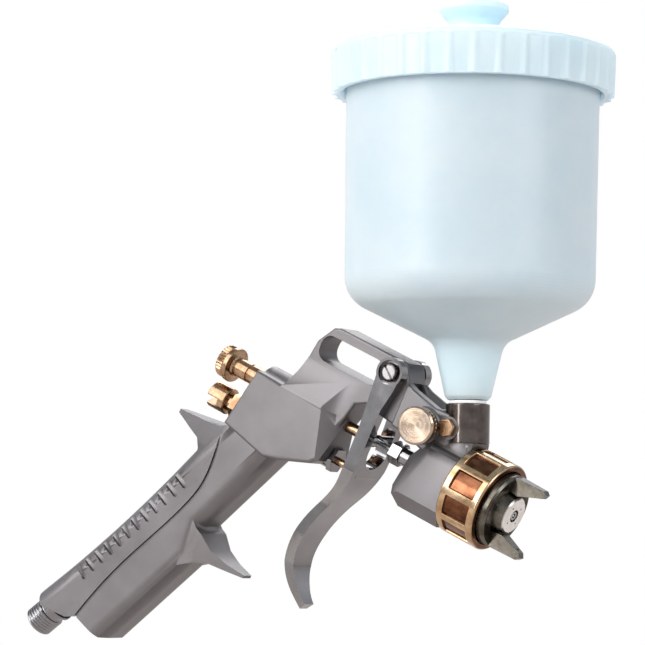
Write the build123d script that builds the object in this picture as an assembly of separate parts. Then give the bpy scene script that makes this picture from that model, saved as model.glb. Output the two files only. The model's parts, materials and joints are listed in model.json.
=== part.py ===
"""Gravity-feed HVLP spray gun with a screw-on plastic cup.

Gun frame: x runs forward along the fluid needle, y is sideways (+y is the off side),
z is up across the needle axis, and the cup's axis crosses the needle axis at (0, 0, 0).
The gun hangs nose-down by PITCH under a level cup.  The row frame keeps the cup's axis
upright (+Z) and has its origin on the air inlet's axis, halfway along its threaded barrel.
"""
import os
from math import atan2, cos, degrees, hypot, radians, sin

from build123d import *

os.makedirs("parts", exist_ok=True)

# ------------------------------------------------------------------ driving dimensions (mm)
PITCH = 24.8                     # nose-down angle of the gun under a level cup
FIT = 0.05                       # radial clearance of a running fit
GAP = 0.3                        # space between pieces that move past each other

BLOCK_HALF = 11.5                # half thickness of the rear block
LOOP_HALF = 6.6                  # half thickness of the hanging loop
BRIDGE_HALF = 8.0                # half thickness of the bridge in front of the trigger
GRIP_HALF = 10.0                 # half thickness of the handle
GRIP_ROUND = 7.0                 # radius of the handle's long edges
GRIP_SLOTS = 12                  # finger-hold slots on each side of the rear grip panel
SLOT_DEPTH = 1.5
GROOVE_DEPTH = 0.85              # groove that sets off the rear grip panel
HEAD_HALF = 13.0                 # half thickness of the spray head

PIVOT = (-44.9, 28.8)            # trigger pivot, x and z
PIVOT_R = 3.0
LEG_IN = LOOP_HALF + GAP         # inner face of each trigger leg
LEG_OUT = 11.2                   # outer face of each trigger leg
RECESS_R = 4.9                   # recess round the screw head and the nut
RECESS_DEPTH = 1.6
PUSH_X = -45.4                   # middle of the trigger's two push bars
PUSH_R = 2.5

AIR_Z = -14.3                    # height of the air valve's axis
INLET_SEAT = (-156.6, -125.6)    # where the inlet fitting's shoulder meets the handle
AIR_CHAMBER = (-93.0, AIR_Z)     # the handle's air channel ends here
INLET_R = 6.58                   # 1/4 inch BSP male thread
INLET_LEN = 13.4                 # fitting below its seat
INLET_THREAD = 8.6               # threaded barrel at its end
INLET_CHAMFER = 0.7              # at both ends of the threaded barrel

NEEDLE_R = 1.25
NEEDLE_TAIL = -91.6
NEEDLE_TIP = 23.0
SLEEVE_R = 2.3
SPRING_CHAMBER_R = 4.3
SPRING_WIRE = 0.9
BARREL_R = 7.4                   # round housing over the needle spring
KNOB_SHANK_R = 3.9
KNOB_HEAD_R = 7.2

RING_R = 17.6                    # air cap retaining ring
RING_BORE = 16.0
RING_X0 = -1.1
RING_X1 = 16.0
LIP_BORE = 15.0                  # opening in the ring's front lip
CAP_NOSE_R = 14.7
HORN_HALF = 3.5
RING_WINDOWS = 10
WINDOW_DEPTH = 1.0

FAN_AT = (-21.6, -18.0, 16.4)    # middle of the fan knob's face
FAN_CANT = 10.0                  # the fan valve leans this much towards the nozzle
FAN_KNOB_R = 7.4

ADAPTER_R = 8.5
ADAPTER_Z0 = 17.6
ADAPTER_Z1 = 33.0
CUP_R_TOP = 48.8
CUP_R_LOW = 48.0
CUP_WALL = 1.8
CUP_RIM_Z = 166.0
CUP_END_Z = 34.5
NECK_R_TOP = 13.4
NECK_R_END = 8.9
LID_R = 55.0
LID_Z0 = 151.8
LID_Z1 = 170.2
LID_FLUTES = 36
VENT_R = 13.5

HANDLE_LEAN = degrees(atan2(AIR_CHAMBER[0] - INLET_SEAT[0], AIR_CHAMBER[1] - INLET_SEAT[1]))
HANDLE_DOWN = (-sin(radians(HANDLE_LEAN)), -cos(radians(HANDLE_LEAN)))
INLET_MID = INLET_LEN - INLET_THREAD / 2
ORIGIN = (INLET_SEAT[0] + INLET_MID * HANDLE_DOWN[0], INLET_SEAT[1] + INLET_MID * HANDLE_DOWN[1])
SEAT_BORE_DEPTH = 11.0           # socket in the handle for the inlet fitting's tail
INLET_SEAT_TOP = (INLET_SEAT[0] - SEAT_BORE_DEPTH * HANDLE_DOWN[0],
                  INLET_SEAT[1] - SEAT_BORE_DEPTH * HANDLE_DOWN[1])
TO_ROW = Pos(-(ORIGIN[0] * cos(radians(PITCH)) + ORIGIN[1] * sin(radians(PITCH))),
             0,
             -(-ORIGIN[0] * sin(radians(PITCH)) + ORIGIN[1] * cos(radians(PITCH))))
GUN = TO_ROW * Rot(0, PITCH, 0)
CUP = TO_ROW
LOCK_AT = (-13.0, 19.8)          # adapter lock screw, x and z
LOCK_FACE = 8.8                  # outer face of the cheek under the lock screw
LOCK_PLACE = Location(Plane(origin=(LOCK_AT[0], -LOCK_FACE, LOCK_AT[1]), x_dir=(0, 0, 1), z_dir=(0, -1, 0)))

NODES = {}


def keep(name, shape, place=GUN):
    """Put a finished piece into the row frame under its node name."""
    NODES[name] = place * shape


# ------------------------------------------------------------------ shape helpers
def rod(x0, x1, r, z=0.0, y=0.0):
    """Round bar along x."""
    plane = Plane(origin=(x0, y, z), x_dir=(0, 1, 0), z_dir=(1, 0, 0))
    return extrude(plane * Circle(r), x1 - x0)


def hex_rod(x0, x1, across, z=0.0, y=0.0, turn=0.0):
    """Hexagonal bar along x, by its size across the flats."""
    plane = Plane(origin=(x0, y, z), x_dir=(0, 1, 0), z_dir=(1, 0, 0))
    return extrude(plane * Rot(0, 0, turn) * RegularPolygon(across / 2, 6, major_radius=False), x1 - x0)


def cross_rod(x, z, y0, y1, r):
    """Round bar along y."""
    plane = Plane(origin=(x, y0, z), x_dir=(1, 0, 0), z_dir=(0, 1, 0))
    return extrude(plane * Circle(r), y1 - y0)


def side_face(points):
    """Closed outline in the side view."""
    return Plane.XZ * make_face(Polyline(*points, close=True))


def slab(points, half):
    """Plate with a side-view outline, even about the gun's middle plane."""
    return extrude(side_face(points), half, both=True)


def turned(points, z=0.0):
    """Piece turned about the x axis at height z, from (x, r) points."""
    return Pos(0, 0, z) * revolve(side_face(points), Axis.X)


def turned_up(points):
    """Piece turned about the upright axis, from (r, z) points."""
    return revolve(side_face(points), Axis.Z)


def coil(x0, x1, radius, wire, turns, z=0.0):
    """Open coil spring along x with its ends inside x0..x1."""
    path = Helix(pitch=(x1 - x0 - wire) / turns, height=x1 - x0 - wire, radius=radius)
    start = Plane(origin=path @ 0, z_dir=path % 0)
    spring = sweep(start * Circle(wire / 2), path=path, is_frenet=True)
    return Pos(x0 + wire / 2, 0, z) * Rot(0, 90, 0) * spring


def long_edges(shape, half):
    """Edges lying in the two side planes y = -half and y = +half."""
    return [e for e in shape.edges() if abs(abs(e.center().Y) - half) < 1e-3]


def corner_cuts(point, outward):
    """Two big boxes beyond a sloping plane through a point, one on each side of the gun."""
    cuts = []
    for side in (1, -1):
        plane = Plane(origin=(point[0], side * point[1], point[2]), z_dir=(outward[0], side * outward[1], outward[2]))
        cuts.append(Location(plane) * Box(90, 90, 60, align=(Align.CENTER, Align.CENTER, Align.MIN)))
    return cuts


def ring_of(shape, count):
    """Copies of a shape spaced evenly about the x axis."""
    return [Rot(360 * i / count, 0, 0) * shape for i in range(count)]


# ------------------------------------------------------------------ body casting
def handle():
    """Leaning grip with well rounded long edges, slightly hollow at the back."""
    back = ThreePointArc((-118.0, -37.0), (-138.3, -79.2), (-161.5, -119.6))
    outline = back + Polyline((-161.5, -119.6), (-162.4, -123.4), (-158.6, -126.8), (-145.0, -125.4),
                              (-140.6, -122.6), (-127.0, -126.0), (-124.0, -124.8), (-98.9, -76.6),
                              (-100.4, -63.0), (-88.0, -38.1), (-79.0, -20.0), (-108.0, -20.0), (-118.0, -37.0))
    solid = extrude(Plane.XZ * make_face(outline), GRIP_HALF, both=True)
    steep = [e for e in long_edges(solid, GRIP_HALF) if abs((e % 0.5).Z) > 0.7 and e.length > 12]
    return fillet(steep, GRIP_ROUND)


def tapered_fin(points, half_root, half_tip, root, tip):
    """Fin with a side-view outline whose thickness tapers from root x to tip x."""
    wide = max(half_root, half_tip) + 1
    fin = slab(points, wide)
    reach = 20
    slope = (half_tip - half_root) / (tip - root)
    near = half_root - reach * slope * (1 if tip > root else -1)
    far = half_tip + reach * slope * (1 if tip > root else -1)
    x0 = root - reach * (1 if tip > root else -1)
    x1 = tip + reach * (1 if tip > root else -1)
    top = make_face(Polyline((x0, -near), (x0, near), (x1, far), (x1, -far), close=True))
    return fin & extrude(Plane.XY * top, 200, both=True)


def rear_spur():
    """Fin behind the grip that rests on the hand."""
    points = [(-106.0, -20.6), (-109.8, -23.4), (-119.2, -24.6), (-134.6, -26.2), (-134.8, -27.8), (-124.5, -31.0),
              (-119.5, -32.4), (-116.8, -36.0), (-116.4, -44.0), (-100.0, -30.0)]
    return tapered_fin(points, 8.0, 2.6, -112.0, -134.0)


def finger_spur():
    """Thin fin in front of the grip, between the fingers."""
    points = [(-106.0, -61.0), (-101.6, -64.4), (-98.6, -65.6), (-92.7, -70.0), (-84.8, -72.2), (-76.4, -73.2),
              (-76.4, -74.4), (-84.7, -75.0), (-92.0, -75.4), (-97.6, -77.4), (-104.0, -82.0)]
    return tapered_fin(points, 8.2, 2.6, -96.0, -76.0)


def grip_groove():
    """Curved groove that sets off the rear grip panel on both sides of the handle."""
    line = Spline((-107.6, -21.6), (-105.7, -36.0), (-106.0, -46.0), (-110.2, -58.9), (-120.1, -78.2),
                  (-129.9, -97.1), (-136.8, -113.7), (-140.6, -124.6))
    strip = Plane.XZ * trace(line, 1.5)
    cut = extrude(strip, 14, both=True)
    return cut - Box(400, 2 * (GRIP_HALF - GROOVE_DEPTH), 400)


def grip_slots():
    """Finger-hold slots that run from the rear grip panel out over the back edge."""
    length, width, slope = 24.0, 2.5, 22.0
    first, last = (-112.9, -51.8), (-142.1, -106.6)
    cuts = []
    for i in range(GRIP_SLOTS):
        t = i / (GRIP_SLOTS - 1)
        x = first[0] + t * (last[0] - first[0])
        z = first[1] + t * (last[1] - first[1])
        slot = Plane.XZ * Pos(x, z) * Rot(0, 0, -slope) * Pos(-length / 2, 0) * SlotOverall(length, width)
        cuts.append(extrude(slot, 14, both=True) - Box(400, 2 * (GRIP_HALF - SLOT_DEPTH), 400))
    return cuts


def block():
    """Rear block that holds the needle spring, the air valve and both adjusters."""
    points = [(-101.5, 4.8), (-107.2, -20.4), (-84.4, -25.0), (-76.5, -23.0), (-63.4, -18.2), (-60.0, -15.6),
              (-59.2, -2.5), (-58.6, 4.4)]
    solid = slab(points, BLOCK_HALF)
    solid = fillet(long_edges(solid, BLOCK_HALF), 1.4)
    for cut in corner_cuts((-67.2, -BLOCK_HALF, 4.0), (136.5, -127.8, 42.0)):
        solid -= cut
    return solid


def spring_barrel():
    """Round housing over the needle spring, proud of the block's flat top."""
    barrel = rod(-101.8, -82.0, BARREL_R)
    return chamfer(barrel.faces().sort_by(Axis.X)[0].edges(), 0.6)


def loop_root():
    """Foot of the hanging loop, whose sides spread down to the full width of the block."""
    profile = [(BLOCK_HALF, 3.4), (BLOCK_HALF, 4.4), (LOOP_HALF, 17.6), (LOOP_HALF, 18.6)]
    outline = profile + [(-y, z) for y, z in reversed(profile)]
    wedge = extrude(Plane(origin=(-90.0, 0, 0), x_dir=(0, 1, 0), z_dir=(1, 0, 0)) * make_face(
        Polyline(*outline, close=True)), 40)
    root = wedge & slab([(-89.0, 3.0), (-87.4, 4.8), (-85.2, 12.0), (-84.4, 18.6), (-61.9, 18.6), (-59.6, 10.0),
                         (-58.8, 3.0)], 20)
    for cut in corner_cuts((-67.2, -BLOCK_HALF, 4.0), (86.1, -105.8, 3.7)):
        root -= cut
    return root


def loop():
    """Hanging loop above the block."""
    points = [(-90.0, -4.0), (-87.4, 4.8), (-85.2, 12.0), (-84.4, 20.0), (-83.4, 26.0), (-78.4, 33.4),
              (-75.4, 34.6), (-41.4, 34.4), (-38.0, 28.4), (-34.0, 24.0), (-34.0, 10.0), (-44.0, 11.0),
              (-52.0, 12.6), (-56.6, 10.4), (-58.4, 4.0), (-62.0, -6.0)]
    solid = slab(points, LOOP_HALF)
    solid = fillet(long_edges(solid, LOOP_HALF), 1.0)
    slot_outline = Plane.XZ * Pos(-65.8, 25.1) * RectangleRounded(31.0, 10.6, 4.6)
    return solid - extrude(slot_outline, 20, both=True)


def bridge():
    """Bridge that carries air from the loop's foot to the head, wider than the loop."""
    points = [(-37.4, 27.9), (-34.0, 26.6), (-22.0, 24.2), (-15.0, 24.6), (-10.6, 16.0), (-10.6, 4.0), (-27.0, 8.6),
              (-37.4, 10.2)]
    solid = slab(points, BRIDGE_HALF)
    return fillet(long_edges(solid, BRIDGE_HALF), 1.0)


def lock_cheek():
    """Round cheek on the near side of the bridge, under the adapter lock screw."""
    return cross_rod(LOCK_AT[0], LOCK_AT[1], -LOCK_FACE, 0, 4.4)


def bridge_groove():
    """Open channel along the top of the bridge, between two ribs."""
    points = [(-38.8, 22.4), (-36.0, 19.8), (-27.0, 19.6), (-21.4, 19.6), (-21.4, 40.0), (-35.0, 40.0)]
    return slab(points, 3.4)


def head():
    """Faceted spray head with a threaded nose for the retaining ring."""
    outline = [(-8.4, -16.4), (8.4, -16.4), (HEAD_HALF, -10.4), (HEAD_HALF, 6.4), (7.4, 13.8), (-7.4, 13.8),
               (-HEAD_HALF, 6.4), (-HEAD_HALF, -10.4)]
    face = Plane(origin=(-26.0, 0, 0), x_dir=(0, 1, 0), z_dir=(1, 0, 0)) * make_face(Polyline(*outline, close=True))
    prism = extrude(face, 24.6)
    keep_zone = slab([(-20.4, -16.5), (-26.1, -9.8), (-26.1, 2.0), (-17.0, 13.9), (2.0, 13.9), (2.0, -16.5)], 30)
    prism = prism & keep_zone
    for cut in corner_cuts((-13.7, -HEAD_HALF, 7.8), (-99.0, -126.0, 39.0)):
        prism -= cut
    return prism + rod(-1.9, 8.6, RING_BORE - FIT)


def shoulder_rib():
    """Round rib along the near shoulder of the head, from the fan valve to the ring."""
    return rod(-16.0, -1.9, 1.5, z=10.6, y=-8.9)


def adapter_boss():
    """Round boss on the head, upright under the cup."""
    boss = Cylinder(ADAPTER_R, ADAPTER_Z0 - 2.0, align=(Align.CENTER, Align.CENTER, Align.MIN))
    behind_ring = Pos(-51.45, 0, 0) * Box(100, 100, 100)
    return Rot(0, -PITCH, 0) * Pos(0, 0, 2.0) * boss & behind_ring


def fan_place():
    """Location whose z axis runs out of the head along the fan valve."""
    out = (sin(radians(FAN_CANT)), -cos(radians(FAN_CANT)), 0)
    return Location(Plane(origin=FAN_AT, x_dir=(0, 0, 1), z_dir=out))


def fan_turned(points):
    """Piece of the fan valve, turned about its axis, from (r, distance out of the knob face)."""
    return fan_place() * turned_up(points)


def tube_between(a, b, r):
    """Round bar between two side-view points."""
    length = hypot(b[0] - a[0], b[1] - a[1])
    plane = Plane(origin=(a[0], 0, a[1]), x_dir=(0, 1, 0), z_dir=(b[0] - a[0], 0, b[1] - a[1]))
    return extrude(plane * Circle(r), length)


def beyond(a, b, extra):
    """Point on the line from a through b, extra past b."""
    length = hypot(b[0] - a[0], b[1] - a[1])
    return (b[0] + extra * (b[0] - a[0]) / length, b[1] + extra * (b[1] - a[1]) / length)


def pivot_bosses():
    """Round cheek around the trigger screw, flush with the loop."""
    return cross_rod(*PIVOT, -LOOP_HALF, LOOP_HALF, 5.6)


def body_bores():
    """Every drilled and turned hole in the casting."""
    cuts = [
        cross_rod(*PIVOT, -20, 20, PIVOT_R + 0.02),
        rod(-30.0, -17.6, 3.7),
        rod(-18.0, -8.0, 3.4),
        rod(-8.0, 12.0, 6.0),
        rod(-72.0, -50.0, SLEEVE_R + FIT),
        rod(-90.0, -72.0, SPRING_CHAMBER_R),
        rod(-110.0, -90.0, 5.2),
        rod(-67.0, -50.0, 4.4, AIR_Z),
        rod(-60.0, -50.0, 5.8, AIR_Z),
        rod(-78.0, -66.0, 3.2, AIR_Z),
        rod(-99.0, -77.6, 5.0, AIR_Z),
        rod(-112.0, -98.6, 5.6, AIR_Z),
        rod(-66.0, -14.0, 2.2, 16.3),
        tube_between(beyond(AIR_CHAMBER, INLET_SEAT, 2.0), AIR_CHAMBER, 3.8),
        tube_between(INLET_SEAT, beyond(INLET_SEAT, INLET_SEAT_TOP, 0), 6.0),
        tube_between(INLET_SEAT, beyond(AIR_CHAMBER, INLET_SEAT, 12.0), 7.6),
        Rot(0, -PITCH, 0) * turned_up([(0, 0), (3.2, 0), (3.2, 9.4), (5.2, 9.4), (5.2, ADAPTER_Z0),
                                       (ADAPTER_R + FIT, ADAPTER_Z0), (ADAPTER_R + FIT, 60), (0, 60)]),
        fan_turned([(0, -20.6), (2.4, -20.6), (2.4, -14.6), (5.0, -14.6), (5.0, -8.0), (7.8, -8.0), (7.8, 6),
                    (0, 6)]),
        LOCK_PLACE * turned_up([(0, -2.0), (2.0, -2.0), (2.0, 0.0), (4.2, 0.0), (4.2, 6.0), (0, 6.0)]),
    ]
    cuts += ring_of(Pos(0, 0, 10.6) * rod(-3.0, 12.0, 1.4), 8)
    return cuts


def fan_boss():
    """Boss on the near side of the head for the fan valve."""
    return fan_turned([(0, -25.0), (7.2, -25.0), (7.2, -8.6), (6.6, -8.0), (0, -8.0)])


def gun_body():
    """The one aluminium casting: handle, block, loop, bridge and head."""
    body = handle()
    for piece in (rear_spur(), finger_spur(), block(), spring_barrel(), loop_root(), loop(), bridge(),
                  pivot_bosses(), lock_cheek(), head(), shoulder_rib(), adapter_boss(), fan_boss()):
        body += piece
    body -= bridge_groove()
    body -= grip_groove()
    for cut in grip_slots():
        body -= cut
    for cut in body_bores():
        body -= cut
    return body


# ------------------------------------------------------------------ air inlet
def along_handle(points):
    """Piece turned about the air channel, from (r, distance below the inlet seat)."""
    plane = Plane(origin=(INLET_SEAT[0], 0, INLET_SEAT[1]), x_dir=(0, 1, 0),
                  z_dir=(HANDLE_DOWN[0], 0, HANDLE_DOWN[1]))
    return Location(plane) * turned_up(points)


def inlet_fitting():
    neck = INLET_LEN - INLET_THREAD
    return along_handle([(3.8, -10.6), (5.98, -10.6), (5.98, 0.0), (7.2, 0.0), (7.2, 1.2), (5.5, 1.8), (5.5, neck),
                         (INLET_R - INLET_CHAMFER, neck), (INLET_R, neck + INLET_CHAMFER),
                         (INLET_R, INLET_LEN - INLET_CHAMFER), (INLET_R - INLET_CHAMFER, INLET_LEN),
                         (3.8, INLET_LEN)])


def inlet_filter():
    """Small sintered filter pressed in the top of the inlet fitting."""
    return along_handle([(0, -9.8), (3.75, -9.8), (3.75, -4.0), (2.6, -4.0), (2.6, -8.0), (0, -8.0)])


# ------------------------------------------------------------------ trigger
def trigger():
    """Yoke over the bridge, joined below the needle into a curved finger channel."""
    front = Spline((-42.2, 6.0), (-42.3, -8.0), (-44.4, -20.0), (-49.6, -31.0), (-53.9, -41.5), (-55.6, -51.0),
                   (-54.6, -58.6), (-50.8, -65.0), (-45.0, -70.4), tangents=[(0, -1), (1, -0.7)])
    rear = Spline((-46.8, -73.2), (-53.6, -68.0), (-58.2, -61.4), (-60.0, -52.0), (-58.2, -41.0), (-53.4, -30.0),
                  (-49.2, -20.0), (-48.0, -8.0), (-48.2, 6.0), tangents=[(-1, 0.7), (0, 1)])
    blade = Plane.XZ * make_face(front + Line((-45.0, -70.4), (-46.8, -73.2)) + rear
                                 + Line((-48.2, 6.0), (-42.2, 6.0)))
    solid = extrude(blade, LEG_OUT, both=True)
    leg = slab([(-48.2, 5.0), (-42.2, 5.0), (-42.0, 14.0), (-40.0, 23.0), (-39.4, 28.8), (-44.9, 34.0),
                (-50.2, 28.8), (-49.4, 20.0)], LEG_OUT)
    solid = solid + leg + cross_rod(*PIVOT, -LEG_OUT, LEG_OUT, 5.9)
    width = [(LEG_OUT, 60), (LEG_OUT, -12), (9.6, -20), (8.2, -30), (7.8, -45), (6.6, -58), (3.2, -70), (2.2, -75)]
    outline = [(y, z) for y, z in width] + [(-y, z) for y, z in reversed(width)]
    front_view = Plane.YZ * make_face(Polyline(*outline, close=True))
    solid = solid & extrude(front_view, 100, both=True)
    slot_end = -4.1
    slot = Box(40, 2 * LEG_IN, 80, align=(Align.CENTER, Align.CENTER, Align.MIN))
    solid = solid - Pos(-45, 0, slot_end) * slot - rod(-65.0, -25.0, LEG_IN, slot_end)
    hollow_front = Spline((-44.6, -6.0), (-44.6, -10.0), (-46.8, -20.4), (-51.8, -31.4), (-56.0, -42.0),
                          (-57.7, -51.2), (-56.8, -58.0), (-54.8, -62.4))
    hollow = Plane.XZ * make_face(hollow_front + Polyline((-54.8, -62.4), (-75.0, -62.4), (-75.0, -6.0),
                                                          (-44.6, -6.0)))
    inner = [(y - 2.4, z) for y, z in width[1:6]] + [(-(y - 2.4), z) for y, z in reversed(width[1:6])]
    inner_view = Plane.YZ * make_face(Polyline(*inner, close=True))
    channel = extrude(hollow, 30, both=True) & extrude(inner_view, 100, both=True)
    solid = solid - channel
    push_air = cross_rod(PUSH_X, AIR_Z, -LEG_IN - 0.6, LEG_IN + 0.6, PUSH_R)
    lugs = cross_rod(PUSH_X, 0, -LEG_IN - 0.6, LEG_IN + 0.6, PUSH_R) - Box(200, 3.8, 200)
    solid = solid + push_air + lugs
    for side in (-1, 1):
        y_face = side * LEG_OUT
        solid = solid - cross_rod(*PIVOT, y_face - RECESS_DEPTH, y_face + RECESS_DEPTH, RECESS_R)
    return solid - cross_rod(*PIVOT, -20, 20, PIVOT_R + FIT)


def trigger_screw():
    """Slotted screw that is the trigger's hinge pin."""
    seat = -LEG_OUT + RECESS_DEPTH
    top = -LEG_OUT - 0.5
    shank = cross_rod(*PIVOT, seat, LEG_OUT + 2.0, PIVOT_R)
    head = cross_rod(*PIVOT, top, seat, 3.8)
    head = fillet(head.edges().filter_by(lambda e: abs(e.center().Y - top) < 1e-3), 0.9)
    slot = Pos(PIVOT[0], top, PIVOT[1]) * Rot(0, 35, 0) * Box(12, 1.8, 1.2)
    return shank + head - slot


def trigger_nut():
    """Domed nut on the far end of the trigger screw."""
    top = LEG_OUT + 3.4
    nut = cross_rod(*PIVOT, LEG_OUT - RECESS_DEPTH, top, 4.2)
    nut = fillet(nut.edges().filter_by(lambda e: abs(e.center().Y - top) < 1e-3), 1.4)
    return nut - cross_rod(*PIVOT, 0, LEG_OUT + 2.1, PIVOT_R)


# ------------------------------------------------------------------ fluid needle train
def fluid_needle():
    return turned([(NEEDLE_TAIL, 0), (NEEDLE_TAIL, NEEDLE_R), (17.4, NEEDLE_R), (20.9, 0.6),
                   (NEEDLE_TIP - 0.6, 0.6), (NEEDLE_TIP, 0.25), (NEEDLE_TIP, 0)])


def needle_sleeve():
    """Brass sleeve whose front flange the trigger draws back."""
    x0 = PUSH_X - PUSH_R - 0.04
    return turned([(-76.0, NEEDLE_R), (-76.0, SLEEVE_R), (x0 - 2.0, SLEEVE_R), (x0 - 2.0, 4.2), (x0, 4.2),
                   (x0, NEEDLE_R)])


def needle_spring_seat():
    return turned([(-78.0, NEEDLE_R), (-78.0, 3.9), (-76.0, 3.9), (-76.0, NEEDLE_R)])


def needle_spring():
    return coil(-95.8, -78.1, 2.9, SPRING_WIRE, 7)


def fluid_bush():
    """Threaded brass bush that the fluid knob turns in."""
    return turned([(-100.8, KNOB_SHANK_R + FIT), (-100.8, 5.15), (-90.1, 5.15), (-90.1, KNOB_SHANK_R + FIT)])


def knurled(x0, x1, r, count, z=0.0):
    """Disc with straight knurling round its rim."""
    disc = rod(x0, x1, r)
    groove = Pos(0, 0, r + 0.25) * Rot(45, 0, 0) * Box(2 * (x1 - x0) + 4, 0.9, 0.9)
    cutter = Pos((x0 + x1) / 2, 0, 0) * groove
    for cut in ring_of(cutter, count):
        disc = disc - cut
    return Pos(0, 0, z) * disc


def fluid_knob():
    """Knurled brass knob that sets how far the needle can draw back."""
    head = knurled(-125.0, -119.4, KNOB_HEAD_R - 0.5, 30) + rod(-120.8, -118.6, KNOB_HEAD_R)
    shank = rod(-118.8, -98.4, KNOB_SHANK_R)
    waist = turned([(-111.0, 3.4), (-111.0, 5), (-110.2, 5), (-110.2, 3.4)])
    hole = rod(-104.0, -90.0, NEEDLE_R + GAP)
    return head + shank - waist - hole


def fluid_knob_seat():
    """Loose washer between the fluid knob and the needle spring."""
    return turned([(-98.2, 1.9), (-98.2, 3.8), (-96.0, 3.8), (-96.0, 1.9)])


def needle_packing():
    return turned([(-23.4, NEEDLE_R + FIT), (-23.4, 3.65), (-17.7, 3.65), (-17.7, NEEDLE_R + FIT)])


def gland_nut():
    """Hexagon nut that squeezes the packing round the needle."""
    return (hex_rod(-36.0, -31.0, 8.4, turn=15) + rod(-31.0, -23.6, 3.6)) - rod(-40.0, -20.0, NEEDLE_R + GAP)


# ------------------------------------------------------------------ air valve
def air_valve_stem():
    x0 = PUSH_X - PUSH_R - 0.04
    stem = turned([(-81.6, 0), (-81.6, 3.9), (-80.2, 3.9), (-80.2, 1.6), (x0 - 0.6, 1.6), (x0, 1.2), (x0, 0)])
    return Pos(0, 0, AIR_Z) * stem


def air_valve_seal():
    """Rubber disc on the valve head that closes on the seat."""
    return turned([(-80.2, 1.6), (-80.2, 3.8), (-79.3, 3.8), (-79.3, 1.6)], AIR_Z)


def air_valve_seat():
    return turned([(-79.2, 2.3), (-79.2, 4.95), (-77.7, 4.95), (-77.7, 2.3)], AIR_Z)


def air_packing_nut():
    """Chromed hexagon nut round the air valve stem."""
    nut = hex_rod(-60.0, -57.5, 9.2, AIR_Z, turn=0) + rod(-66.8, -60.0, 4.35, AIR_Z)
    return nut - rod(-70, -50, 1.6 + FIT, AIR_Z)


def air_packing():
    return turned([(-71.0, 1.6 + FIT), (-71.0, 3.15), (-67.0, 3.15), (-67.0, 1.6 + FIT)], AIR_Z)


def air_spring():
    return coil(-97.0, -81.8, 3.2, SPRING_WIRE, 6, AIR_Z)


def air_screw_bush():
    """Brass hexagon bush in the back of the block."""
    bush = hex_rod(-111.6, -108.0, 10.4, AIR_Z, turn=10) + rod(-108.2, -98.8, 5.5, AIR_Z)
    return bush - rod(-120, -90, 3.6 + FIT, AIR_Z)


def air_screw():
    """Brass air-flow screw with a wide driver slot across its head."""
    head = rod(-123.4, -114.6, 5.5, AIR_Z)
    head = chamfer(head.edges(), 0.5)
    shank = rod(-114.8, -97.6, 3.6, AIR_Z)
    slot = Pos(-122.4, 0, AIR_Z) * Rot(22, 0, 0) * Box(9.4, 20, 3.6)
    groove = turned([(-103.6, 2.75), (-103.6, 5), (-102.4, 5), (-102.4, 2.75)], AIR_Z)
    return head + shank - slot - groove


def o_ring(x, r_in, wire, z=0.0):
    """Rubber ring on the x axis."""
    return Pos(x, 0, z) * Rot(0, 90, 0) * Torus(r_in + wire / 2, wire / 2)


# ------------------------------------------------------------------ fan (spreader) valve
def fan_valve_body():
    """Brass bush screwed into the head for the fan valve."""
    bush = fan_turned([(0, -14.5), (4.95, -14.5), (4.95, -8.0), (0, -8.0)])
    hexagon = extrude(RegularPolygon(5.3, 6, major_radius=False), 1.8)
    bore = fan_turned([(0, -30), (3.7, -30), (3.7, -9.4), (2.55, -9.4), (2.55, 5), (0, 5)])
    return bush + fan_place() * Pos(0, 0, -8.0) * hexagon - bore


def fan_knob():
    """Turned brass knob with a spun face and a knurled rim, on its tapered valve stem."""
    disc = Cylinder(FAN_KNOB_R, 4.6, align=(Align.CENTER, Align.CENTER, Align.MAX))
    disc = chamfer(disc.edges(), 0.4)
    for i in range(30):
        groove = Rot(0, 0, 12 * i) * Pos(FAN_KNOB_R + 0.28, 0, -2.6) * Rot(0, 0, 45) * Box(0.9, 0.9, 3.0)
        disc = disc - groove
    stem = turned_up([(0, -20.0), (0.9, -20.0), (2.1, -16.4), (2.1, -9.7), (2.5, -9.3), (2.5, -4.4), (0, -4.4)])
    return fan_place() * (disc + stem)


def fan_seal():
    """Rubber ring that travels with the fan valve stem."""
    return fan_place() * Pos(0, 0, -13.7) * Torus(2.9, 0.72)


def adapter_lock_screw():
    """Brass hexagon screw through the casting's cheek that locks the cup adapter."""
    screw = turned_up([(0, -0.3), (1.98, -0.3), (1.98, 0), (0, 0)])
    hexagon = extrude(RegularPolygon(3.3, 6, major_radius=False), 2.4)
    hexagon = chamfer(hexagon.faces().sort_by(Axis.Z)[-1].edges(), 0.4)
    return LOCK_PLACE * (screw + hexagon)


# ------------------------------------------------------------------ spray head
def fluid_nozzle():
    """Nozzle screwed into the head, with a hexagon for its spanner."""
    core = turned([(-7.6, 3.0), (-7.6, 5.95), (11.0, 5.95), (11.0, 6.6), (13.6, 6.6), (14.0, 5.4), (20.6, 2.3),
                   (22.8, 1.7), (22.8, 0.95), (21.0, 0.95), (17.2, 1.9), (12.0, 3.0)])
    return core + (hex_rod(11.0, 13.4, 13.4) - rod(10, 15, 5.0))


def air_baffle():
    """Drilled brass ring that spreads air evenly behind the cap."""
    ring = turned([(8.7, 6.05), (8.7, 12.2), (10.9, 12.2), (10.9, 6.05)])
    for hole in ring_of(Pos(0, 0, 9.6) * rod(8, 12, 0.9), 12):
        ring = ring - hole
    return ring


def ring_clip():
    """Wire clip that keeps the air cap inside the retaining ring."""
    return turned([(8.95, 14.4), (8.95, 15.6), (9.9, 15.6), (9.9, 14.4)])


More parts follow.
